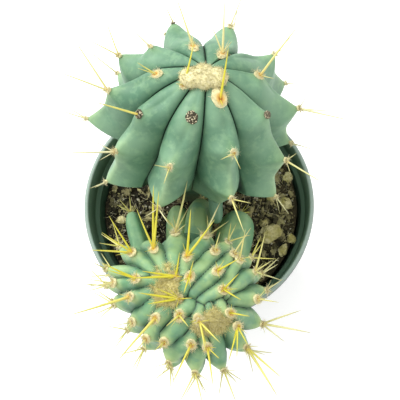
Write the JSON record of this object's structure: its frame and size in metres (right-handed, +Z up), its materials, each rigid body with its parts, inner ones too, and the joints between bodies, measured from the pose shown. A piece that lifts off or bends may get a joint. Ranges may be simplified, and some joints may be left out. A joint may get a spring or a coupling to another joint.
{
  "type": "potted crested blue barrel cactus",
  "caption": "Blue barrel cactus with a crested offshoot beside it, growing in soil in a round plastic nursery pot.",
  "frame": {"origin": "middle of the pot's base, on the surface that it stands on", "axes": "+Z up along the pot's axis; +Y towards the barrel head, -Y towards the crested head; +X to the right as seen from the crested side"},
  "size_m": [0.1229, 0.1766, 0.1776],
  "materials": {
    "pot": "satin dark green moulded plastic with a paler, scuffed rim",
    "soil": "coarse damp peat and bark compost",
    "flesh": "waxy blue-green cactus skin with a soft bloom",
    "wool": "cream to pale yellow areole wool",
    "stones": "dull tan gravel and bark chips"
  },
  "bodies": {
    "root": {"pot": "pot", "soil": "soil", "barrel_head": "flesh", "crest_head": "flesh", "crown_wool": "wool", "crest_wool_left": "wool", "crest_wool_front": "wool", "stone_1": "stones", "stone_2": "stones", "stone_3": "stones", "stone_4": "stones", "stone_5": "stones", "stone_6": "stones", "stone_7": "stones", "stone_8": "stones", "stone_9": "stones", "stone_10": "stones"}
  },
  "joints": []
}
